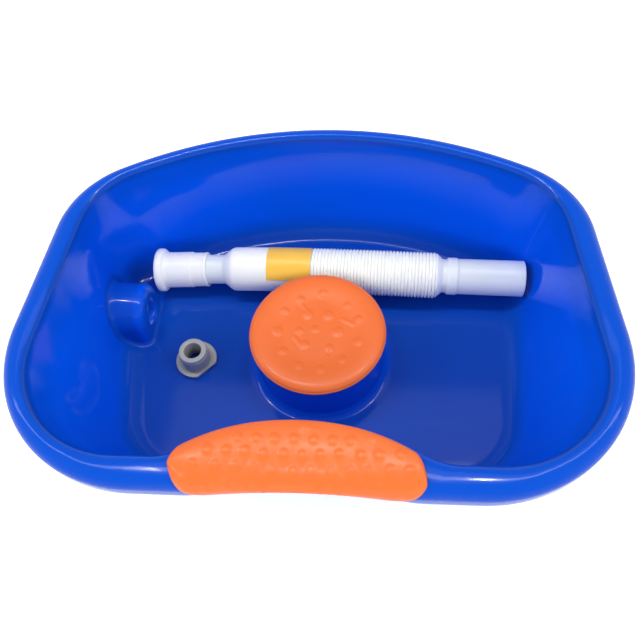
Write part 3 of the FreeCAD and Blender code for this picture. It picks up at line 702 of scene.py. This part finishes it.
basinShell = makeShell()
paintLightAndShade(basinShell)
print("shell made:", len(basinShell.data.vertices), "points")

# Massage dots, shared by the two pads

dotSides = (0.3, 1.2)     # where a dot's side starts and ends, in radii


def dotHeight(places, centres, radii, height):
    lift = np.zeros(len(places))
    for centre, radius in zip(centres, radii):
        gap = np.linalg.norm(places - centre, axis=1)
        lift = np.maximum(lift, height * (1 - step(gap, dotSides[0] * radius, dotSides[1] * radius)))
    return lift


# Neck pad over the saddle

neckPadSizes = dict(
    thick=4.0, crown=1.8, crownTo=0.66, crownWidths=(8.0, 40.0), edge=3.4, seat=0.3,
    inner=175.0, innerY=-313.5, half=103.8, middle=-4.8, innerEnd=95.0, outerEnd=70.0,
    endForm=(1.8, 0.8), tipLeft=43.0, tipRight=53.0, tipTurn=88.6, bottom=133.0, lowerFrom=0.7,
    lowerThin=0.6, columns=300, rows=84, crowded=0.35, dotRows=7, dotColumns=9, dotFrom=6.0,
    dotPitch=15.6, dotRow=12.6, dotRadius=4.9, dotSpread=(0.88, 1.08), dotHeight=0.95, dotMargin=6.5,
    jitter=1.2,
)


def rimSection(x, reach):
    # the rim along one section: flat top, crown, then down the turned edge; reach starts at the inner edge
    b = basin
    s = neckPadSizes
    front = np.flatnonzero(rimEdge[:, 1] < -100)
    front = front[np.argsort(rimEdge[front, 0])]
    edgeY = np.interp(x, *rimEdge[front].T)
    mouthY = np.interp(x, *mouthEdge[front].T)
    low = b["top"] - b["skirt"]
    fall = 1 - neckDip(x, edgeY) / b["skirt"]
    flat = s["innerY"] + s["inner"] - (edgeY + b["crownAcross"])
    drop = b["crownDown"] * fall
    curve = np.pi / 2 * np.sqrt((b["crownAcross"] ** 2 + drop ** 2) / 2)
    angle = np.clip((reach - flat) / curve, 0, 1) * np.pi / 2
    y = edgeY + b["crownAcross"] * (1 - np.sin(angle)) + np.maximum(flat - reach, 0)
    z = low + b["skirt"] * fall - drop * (1 - np.cos(angle)) - np.maximum(reach - flat - curve, 0)
    onLip = np.clip(1 - (mouthY - y) / b["lip"], 0, 1)
    z = z - b["lipDown"] * (1 - np.sqrt(1 - onLip ** 2))
    total = flat + curve + (low + (b["skirt"] - b["crownDown"]) * fall - s["bottom"])
    return np.stack((np.broadcast_to(x, y.shape), y, z), axis=-1), total


def padOutline(x):
    # inner and outer reach of the pad at x: an arc and the lower edge, with rounded ends
    s = neckPadSizes
    total = rimSection(x, np.zeros_like(x))[1]
    tip = np.where(x < s["middle"], s["tipLeft"], s["tipRight"])
    size = np.abs(x - s["middle"])
    arc = s["inner"] - np.sqrt(s["inner"] ** 2 - np.minimum(size, s["innerEnd"]) ** 2)
    inEnd = np.clip((size - s["innerEnd"]) / (s["half"] - s["innerEnd"]), 0, 1)
    outEnd = np.clip((size - s["outerEnd"]) / (s["half"] - s["outerEnd"]), 0, 1)
    arcSlope = s["innerEnd"] / math.sqrt(s["inner"] ** 2 - s["innerEnd"] ** 2) * (s["half"] - s["innerEnd"])
    inner = arc + arcSlope * inEnd
    inner += np.maximum(tip - arc - arcSlope, 0) * (1 - np.sqrt(1 - inEnd ** 2)) * (inEnd > 0)
    outer = tip + (total - tip) * (1 - outEnd ** s["endForm"][0]) ** s["endForm"][1]
    return inner, np.maximum(outer, inner)


def makeNeckPad():
    s = neckPadSizes
    x = s["middle"] + s["half"] * np.sin(np.linspace(-1, 1, s["columns"]) * np.radians(s["tipTurn"]))
    inner, outer = padOutline(x)
    share = np.linspace(0, 1, s["rows"])
    share = (1 - s["crowded"]) * share + s["crowded"] * step(share, 0, 1)
    reach = inner[None] + (outer - inner)[None] * share[:, None]
    surface = rimSection(np.broadcast_to(x, reach.shape), reach)[0]
    normals = np.cross(np.gradient(surface, axis=1), np.gradient(surface, axis=0))
    size = np.linalg.norm(normals, axis=-1, keepdims=True)
    normals = np.where(size > 1e-9, normals / np.maximum(size, 1e-9), (0, 0, 1))
    normals[:, (0, -1)] = normals[:, (1, -2)]
    normals *= np.sign(np.sum(normals * (0, -1, 1), axis=-1, keepdims=True))
    places = np.stack((np.broadcast_to(x, reach.shape), reach), axis=-1)
    border = np.concatenate((places[0], places[-1], places[:, 0], places[:, -1]))
    places = places.reshape(-1, 2)
    tree = nearestTree(level(border, 0))
    gap = np.array([tree.find(place)[2] for place in level(places, 0)])
    rounding = np.sqrt(1 - (1 - np.clip(gap / s["edge"], 0, 1)) ** 2)
    centres = []
    for row in range(s["dotRows"]):
        for column in range(-s["dotColumns"], s["dotColumns"] + 1):
            spot = np.array(((column + 0.5 * (row % 2)) * s["dotPitch"], s["dotFrom"] + row * s["dotRow"]))
            spot += rng.uniform(-s["jitter"], s["jitter"], 2)
            if min(np.linalg.norm(border - spot, axis=1)) > s["dotMargin"]:
                low, high = padOutline(spot[:1])
                if low[0] < spot[1] < high[0]:
                    centres.append(spot)
    radii = rng.uniform(*s["dotSpread"], len(centres)) * s["dotRadius"]
    crown = s["crown"] * np.sin(np.pi * np.clip(share / s["crownTo"], 0, 1))
    crown = np.outer(crown, step(outer - inner, *s["crownWidths"]))
    thick = s["thick"] * (1 - s["lowerThin"] * step(share, s["lowerFrom"], 1))
    lift = np.repeat(thick, s["columns"]) * rounding + crown.ravel()
    lift += dotHeight(places, np.array(centres), radii, s["dotHeight"])
    base = surface.reshape(-1, 3)
    away = normals.reshape(-1, 3)
    over = base + away * (s["seat"] + lift)[:, None]
    # the underside shares the points of the border
    under = (base + away * s["seat"]).reshape(surface.shape)[1:-1, 1:-1]
    below = np.arange(len(base)).reshape(surface.shape[:2])
    below[1:-1, 1:-1] = len(base) + np.arange(under[..., 0].size).reshape(under.shape[:2])
    faces = gridFaces(s["rows"], s["columns"], loopColumns=False)
    faces += below.ravel()[np.array(faces)[:, ::-1]].tolist()
    return smooth(newPiece("neckPad", np.concatenate((over, under.reshape(-1, 3))), faces), 60)


neckPad = makeNeckPad()
print("neck pad made:", len(neckPad.data.vertices), "points")

# Round head pad on the pedestal

padLow, padHigh = (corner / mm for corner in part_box("headrest_pad"))
headPadSizes = dict(
    radius=(padHigh.x - padLow.x) / 2 + 1.0, x=-1.2, y=(padLow.y + padHigh.y) / 2, low=padLow.z,
    high=padHigh.z + 2.0, seat=65.5, edgeLow=12.6, edgeHigh=14.0, edgeOut=1.2, roll=11.0, dish=2.6,
    dishEdge=(34.0, 58.0), around=300, ringGap=1.1,
    dotRadius=5.7, dotSpread=(0.8, 1.15), dotHeight=0.85, rings=((0, 1), (21, 6), (43, 11)), jitter=2.6,
    ridges=((-24, -8, -14, -20), (12, -30, 10, -44), (26, 14, 38, 8), (-12, 24, -20, 34)),
    ridgeSides=(1.2, 3.0), ridgeLow=0.5,
)


def headDots():
    s = headPadSizes
    spots = []
    for radius, count in s["rings"]:
        for index in range(count):
            turn = 360 / count * (index + 0.5 * (count % 2))
            spots.append(polar((0, 0), radius, turn) + rng.uniform(-s["jitter"], s["jitter"], 2))
    return np.array(spots), rng.uniform(*s["dotSpread"], len(spots)) * s["dotRadius"]


def ridgeHeight(places):
    s = headPadSizes
    lift = np.zeros(len(places))
    for x0, y0, x1, y1 in s["ridges"]:
        start = np.array((x0, y0), float)
        run = np.array((x1, y1)) - start
        share = np.clip((places - start) @ run / (run @ run), 0, 1)
        gap = np.linalg.norm(places - start - share[:, None] * run, axis=1)
        lift = np.maximum(lift, s["dotHeight"] * s["ridgeLow"] * (1 - step(gap, *s["ridgeSides"])))
    return lift


def makeHeadPad():
    s = headPadSizes
    body = s["radius"] - s["edgeOut"]
    edgeLow = s["low"] + s["edgeLow"]
    edgeHigh = s["low"] + s["edgeHigh"]
    side = eased(((0.2, s["low"], 0), (s["seat"], s["low"], 1.0), (s["radius"], edgeLow, 0.6),
                  (s["radius"], edgeHigh, 0.7), (body, edgeHigh + 0.4, 0.3)), steps=4)
    rollUp = s["high"] - side[-1, 1]
    roll = []
    for angle in np.radians(np.linspace(8, 90, 11)):
        roll.append((body - s["roll"] * (1 - math.cos(angle)), s["high"] - rollUp * (1 - math.sin(angle))))
    reach = np.arange(body - s["roll"] - s["ringGap"], 0.5, -s["ringGap"])
    hollow = s["high"] - s["dish"] * (1 - step(reach, *s["dishEdge"]))
    profile = np.concatenate((side, roll, np.column_stack((reach, hollow))))
    turns = fullTurn(s["around"])
    ring = np.column_stack((np.cos(turns), np.sin(turns)))
    plan = profile[:, :1, None] * ring
    height = np.repeat(profile[:, 1:], s["around"], axis=1)
    top = len(side) + len(roll)
    places = plan[top:].reshape(-1, 2)
    lift = np.maximum(dotHeight(places, *headDots(), s["dotHeight"]), ridgeHeight(places))
    height[top:] += lift.reshape(height[top:].shape)
    points = np.concatenate((plan, height[..., None]), axis=-1) + (s["x"], s["y"], 0)
    rows = len(profile)
    faces = gridFaces(rows, s["around"])
    last = (rows - 1) * s["around"]
    faces += [list(reversed(range(s["around"]))), list(range(last, last + s["around"]))]
    return smooth(newPiece("headrestPad", points, faces), 60)


headrestPad = makeHeadPad()
print("head pad made")

# Loose drain spigot

spigotLow, spigotHigh = (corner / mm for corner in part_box("drain_spigot"))
spigot = dict(
    x=-141.0, y=-15.5, low=spigotLow.z, high=spigotHigh.z, turn=-45.0, flange=23.0, flangeThick=4.0,
    flat=19.0, stem=16.0, stemTop=15.6, bore=9.5, around=96,
)


def makeSpigot():
    s = spigot
    tall = s["high"] - s["low"]
    thick = s["flangeThick"]
    profile = eased((
        (0, s["bore"], 0.6), (0, s["flange"], 0.9), (thick, s["flange"], 1.0),
        (thick, s["stem"] + 2.4, 0.8), (thick - 0.7, s["stem"] + 1.6, 0.4),
        (thick - 0.7, s["stem"], 0.5), (tall - 4.4, s["stem"], 0.5),
        (tall - 4.0, s["stemTop"] - 0.3, 0.3), (tall, s["stemTop"] - 0.3, 1.3), (tall, s["bore"], 1.0),
        (tall - 7, s["bore"] - 0.1, 0.0)), closed=True)
    turns = fullTurn(s["around"])
    radius = np.repeat(profile[:, 1:], s["around"], axis=1)
    room = np.where(np.cos(turns) > 0.1, s["flat"] / np.maximum(np.cos(turns), 0.1), 1e3)
    keep = (np.minimum(room, s["flange"]) - s["stem"]) / (s["flange"] - s["stem"])
    radius = np.where(radius > s["stem"], s["stem"] + (radius - s["stem"]) * keep[None], radius)
    aim = turns + math.radians(s["turn"])
    points = np.stack((s["x"] + radius * np.cos(aim), s["y"] + radius * np.sin(aim),
                       np.broadcast_to(s["low"] + profile[:, :1], radius.shape)), axis=-1)
    faces = gridFaces(len(profile), s["around"], loopRows=True)
    return smooth(newPiece("drainSpigot", points, faces))


drainSpigot = makeSpigot()
print("spigot made")

# Materials


def newGroup(name, outputs, **inputs):
    group = bpy.data.node_groups.new(name, "ShaderNodeTree")
    for label, value in inputs.items():
        socket = group.interface.new_socket(label, in_out="INPUT", socket_type="NodeSocketFloat")
        socket.default_value = value
    for label in outputs:
        group.interface.new_socket(label, in_out="OUTPUT", socket_type="NodeSocketFloat")
    return group, group.nodes.new("NodeGroupInput"), group.nodes.new("NodeGroupOutput")


def feed(tree, node, values):
    # links or plain values for a node's sockets, by name or by number
    for key, value in values.items():
        if isinstance(value, bpy.types.NodeSocket):
            tree.links.new(value, node.inputs[key])
        else:
            node.inputs[key].default_value = value


def addNode(tree, kind, settings=None, **values):
    node = tree.nodes.new("ShaderNode" + kind)
    for name, value in (settings or {}).items():
        setattr(node, name, value)
    feed(tree, node, values)
    return node


def maths(tree, operation, *values, clamp=False):
    node = addNode(tree, "Math", dict(operation=operation, use_clamp=clamp))
    feed(tree, node, dict(enumerate(values)))
    return node.outputs[0]


def ranged(tree, value, low, high, first=0.0, last=1.0, kind="LINEAR"):
    # first where the value is low, last where it is high
    node = addNode(tree, "MapRange", dict(interpolation_type=kind))
    feed(tree, node, dict(enumerate((value, low, high, first, last))))
    return node.outputs[0]


def between(tree, share, first, second):
    # from the first colour to the second
    mix = addNode(tree, "Mix", dict(data_type="RGBA"), Factor=share, A=(*first, 1), B=(*second, 1))
    return mix.outputs["Result"]


def makeMottle():
    # slow cloudy variation: a tone round 1 and a roughness offset round 0
    group, given, result = newGroup("mottle", ("Tone", "Gloss"), Scale=12.0, Tone=0.06, Gloss=0.05)
    place = addNode(group, "TexCoord")
    cloud = addNode(group, "TexNoise", Vector=place.outputs["Object"], Scale=given.outputs["Scale"],
                    Detail=4.0, Roughness=0.55)
    centred = maths(group, "SUBTRACT", cloud.outputs["Fac"], 0.5)
    tone = maths(group, "MULTIPLY_ADD", centred, given.outputs["Tone"], 1.0)
    gloss = maths(group, "MULTIPLY", centred, given.outputs["Gloss"])
    feed(group, result, dict(Tone=tone, Gloss=gloss))
    return group


def makeScuffs():
    # thin scratches in two directions, as a mask
    group, given, result = newGroup("scuffs", ("Mask",), Scale=60.0, Cover=0.5)
    place = addNode(group, "TexCoord")
    masks = []
    for angle in (0.5, -0.9):
        turned = addNode(group, "Mapping", Vector=place.outputs["Object"], Rotation=(0.2, 0.3, angle),
                         Scale=(0.06, 1.0, 1.0))
        lines = addNode(group, "TexNoise", Vector=turned.outputs[0], Scale=given.outputs["Scale"],
                        Detail=2.0)
        masks.append(ranged(group, lines.outputs["Fac"], 0.66, 0.74))
    cover = maths(group, "MULTIPLY", maths(group, "MAXIMUM", *masks), given.outputs["Cover"])
    feed(group, result, dict(Mask=cover))
    return group


def makeGrain():
    # fine moulded texture, as a height
    group, given, result = newGroup("grain", ("Height",), Scale=900.0, Soft=0.4)
    place = addNode(group, "TexCoord")
    fine = addNode(group, "TexNoise", Vector=place.outputs["Object"], Scale=given.outputs["Scale"],
                   Detail=3.0, Roughness=given.outputs["Soft"])
    feed(group, result, dict(Height=fine.outputs["Fac"]))
    return group


mottle = makeMottle()
scuffs = makeScuffs()
grain = makeGrain()


def useGroup(tree, group, *values):
    node = addNode(tree, "Group", dict(node_tree=group))
    feed(tree, node, dict(enumerate(values)))
    return node


def newMaterial(name):
    material = bpy.data.materials.new(name)
    material.use_nodes = True
    tree = material.node_tree
    return material, tree, tree.nodes["Principled BSDF"]


def moulded(name, finish, colouring=None):
    # colour and gloss that vary a little, scuffs that dull it, and a fine skin as bump
    material, tree, shader = newMaterial(name)
    cloud = useGroup(tree, mottle, *finish["cloud"])
    skin = useGroup(tree, *finish["skin"])
    rough = maths(tree, "ADD", finish["roughness"], cloud.outputs["Gloss"])
    if "scuffs" in finish:
        rough = maths(tree, "ADD", rough, useGroup(tree, scuffs, *finish["scuffs"]).outputs["Mask"])
    colour = colouring(tree) if colouring else (*finish["colour"], 1)
    tint = addNode(tree, "Mix", dict(data_type="RGBA", blend_type="MULTIPLY"), Factor=1.0, A=colour,
                   B=cloud.outputs["Tone"])
    strength, depth = finish["bump"]
    bump = addNode(tree, "Bump", Strength=strength, Distance=depth * mm, Height=skin.outputs[0])
    feed(tree, shader, {"Base Color": tint.outputs["Result"], "Roughness": rough,
                        "Normal": bump.outputs[0], **finish.get("sockets", {})})
    return material


# In each finish: cloud has the scale, tone and gloss of mottle, scuffs a scale and cover,
# skin a group with its two values, bump a strength and a depth in millimetres

milky = {"Subsurface Radius": (1.0, 1.0, 1.0), "Subsurface Scale": 12 * mm}
# the shell's colour goes from a painted-shade blue to a painted-light blue, by the painted light mark
shellFinish = dict(
    litColour=(0.001, 0.098, 0.80), shadedColour=(0.003, 0.061, 0.43), roughness=0.09,
    cloud=(9.0, 0.08, 0.05), scuffs=(42.0, 0.12), skin=(grain, 150.0, 0.3), bump=(0.06, 0.4),
    sockets={"Specular IOR Level": 0.25})
padFinish = dict(
    colour=(0.84, 0.162, 0.032), roughness=0.42, cloud=(22.0, 0.08, 0.06), skin=(grain, 1400.0, 0.6),
    bump=(0.18, 0.12), sockets={"Specular IOR Level": 0.3, "Coat Weight": 0.2, "Coat Roughness": 0.2,
                                "Sheen Weight": 0.03})
spigotFinish = dict(
    colour=(0.39, 0.39, 0.36), roughness=0.42, cloud=(70.0, 0.22, 0.15), scuffs=(140.0, 0.25),
    skin=(grain, 1100.0, 0.5), bump=(0.15, 0.1))
hoseFinish = dict(
    white=(0.96, 0.97, 0.93), paintedLight=(0.76, 0.82, 0.86), roughness=0.36, cloud=(40.0, 0.06, 0.10),
    skin=(grain, 500.0, 0.4), bump=(0.08, 0.15), sockets={**milky, "Subsurface Weight": 0.3})
cuffFinish = dict(
    colour=(0.95, 0.95, 0.89), roughness=0.34, cloud=(55.0, 0.08, 0.10), skin=(grain, 700.0, 0.4),
    bump=(0.08, 0.12), sockets={**milky, "Subsurface Weight": 0.2})
wrapFinish = dict(
    colour=(0.86, 0.50, 0.065), roughness=0.38, cloud=(90.0, 0.10, 0.12), skin=(scuffs, 70.0, 0.5),
    bump=(0.2, 0.1))


def shellColour(tree):
    # painted light and shade: lighter where light comes through the wall, darker on the floor and under the
    # lip, where shade is painted
    paintedLight = addNode(tree, "Attribute", dict(attribute_name="paintedLight"))
    return between(tree, paintedLight.outputs["Fac"], shellFinish["shadedColour"], shellFinish["litColour"])


def hoseColour(tree):
    # painted light: milky sleeve and bellows; the neck and tail pipe are thinner and let more blue through,
    # painted as a bluish tint
    place = addNode(tree, "TexCoord")
    along = addNode(tree, "SeparateXYZ", Vector=place.outputs["Object"]).outputs["X"]
    neckTo, sleeveFrom, coneTo, collarFrom = (
        (hoseRoute[0][0] + hose[key]) * mm for key in ("neckTo", "sleeveFrom", "coneTo", "collarFrom"))
    neck = ranged(tree, along, neckTo, sleeveFrom, 1.0, 0.0)
    tail = ranged(tree, along, coneTo - 6 * mm, collarFrom)
    paintedLight = maths(tree, "MAXIMUM", neck, tail)
    return between(tree, paintedLight, hoseFinish["white"], hoseFinish["paintedLight"])


def finishPiece(piece, material):
    piece.data.materials.append(material)


padRubber = moulded("softOrangeRubber", padFinish)
finishPiece(basinShell, moulded("glossyBluePlastic", shellFinish, shellColour))
finishPiece(neckPad, padRubber)
finishPiece(headrestPad, padRubber)
finishPiece(drainSpigot, moulded("greyPlastic", spigotFinish))
finishPiece(drainHose, moulded("milkyWhitePlastic", hoseFinish, hoseColour))
finishPiece(hoseCuff, moulded("softWhitePlastic", cuffFinish))
finishPiece(hoseWrap, moulded("plainYellowFilm", wrapFinish))
print("materials set")

# What each piece stands for and rides on

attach(basinShell, "basin")
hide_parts("basin_rim", "basin_walls", "basin_floor", "pedestal_cup", "drain_pocket")
for pad, node in ((neckPad, "neck_pad"), (headrestPad, "headrest_pad")):
    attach(pad, "basin")
    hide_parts(node)
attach(drainSpigot, "spigot")
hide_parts("drain_spigot")
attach(hoseCuff, "hose")
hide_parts("hose_cuff")
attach(hoseWrap, "hose")
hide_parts("hose_label")
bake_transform(drainHose)
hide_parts("hose_neck", "hose_bellows", "hose_tail")
print("pieces on their bodies")

# Stage and light

stage = dict(size=6.0, colour=(0.92, 0.92, 0.92), roughness=0.9, glow=0.5)


def seenRay(tree):
    # 1 where the camera, a reflection or clear plastic looks straight at it
    path = addNode(tree, "LightPath")
    seen = maths(tree, "ADD", path.outputs["Is Camera Ray"], path.outputs["Is Glossy Ray"], clamp=True)
    return maths(tree, "ADD", seen, path.outputs["Is Transmission Ray"], clamp=True)


def makeFloor():
    corners = np.array(((-1, -1, 0), (1, -1, 0), (1, 1, 0), (-1, 1, 0))) * stage["size"] / 2 / mm
    floor = newPiece("floor", corners, [(0, 1, 2, 3)])
    material, tree, shader = newMaterial("whiteFloor")
    glow = maths(tree, "MULTIPLY", seenRay(tree), stage["glow"])
    feed(tree, shader, {"Base Color": (*stage["colour"], 1), "Roughness": stage["roughness"],
                        "Emission Color": (1, 1, 1, 1), "Emission Strength": glow})
    floor.data.materials.append(material)


room = dict(
    horizon=(1.0, 1.0, 1.0), ceiling=(0.5, 0.51, 0.53), ceilingFrom=0.35, ceilingTo=0.8, strength=0.42,
    whiteTo=0.25, whiteEnd=0.45)


def makeRoom():
    # bright walls low down and a dim ceiling; the walls are a white backdrop where they are seen
    world = bpy.data.worlds.new("room")
    bpy.context.scene.world = world
    world.use_nodes = True
    tree = world.node_tree
    place = addNode(tree, "TexCoord")
    up = addNode(tree, "SeparateXYZ", Vector=place.outputs["Generated"]).outputs["Z"]
    share = ranged(tree, up, room["ceilingFrom"], room["ceilingTo"], kind="SMOOTHSTEP")
    low = ranged(tree, up, room["whiteTo"], room["whiteEnd"], 1.0, 0.0, kind="SMOOTHSTEP")
    white = maths(tree, "MULTIPLY", seenRay(tree), low)
    colour = between(tree, share, room["horizon"], room["ceiling"])
    strength = ranged(tree, white, 0.0, 1.0, room["strength"], 1.0)
    feed(tree, tree.nodes["Background"], dict(Color=colour, Strength=strength))


lamps = (
    # name, place, aim and size in metres, power in watts, and whether the gloss shows it
    ("leftWindow", (-2.0, -0.4, 1.45), (0.1, 0.0, 0.05), (1.6, 1.2), 20, False),
    ("rightWindow", (2.0, -0.4, 1.45), (-0.1, 0.0, 0.05), (1.6, 1.2), 20, False),
    ("frontWindow", (0.0, -2.4, 1.5), (0.0, 0.0, 0.05), (2.0, 1.2), 32, False),
    ("overhead", (0.0, 0.33, 1.5), (0.0, 0.33, 0.0), (1.3, 0.62), 2, True),
    ("tube", (-0.1, 0.22, 1.45), (-0.1, 0.22, 0.0), (3.4, 0.12), 7.5, True),
    ("tubeLeft", (-0.57, 0.22, 1.44), (-0.1, 0.0, 0.0), (0.04, 0.05), 1.2, True),
    ("tubeMiddle", (-0.21, 0.22, 1.44), (-0.1, 0.0, 0.0), (0.21, 0.05), 1.6, True),
    ("tubeRight", (0.39, 0.22, 1.44), (0.1, 0.0, 0.0), (0.04, 0.05), 1.2, True),
)


def addLamps():
    for name, place, aim, size, power, mirrored in lamps:
        light = bpy.data.lights.new(name, "AREA")
        light.shape = "RECTANGLE"
        light.size, light.size_y = size
        light.energy = power
        holder = newObject(name, light)
        holder.location = place
        holder.rotation_euler = (Vector(aim) - Vector(place)).to_track_quat("-Z", "Y").to_euler()
        holder.visible_glossy = mirrored


makeFloor()
makeRoom()
addLamps()
print("stage and light set")
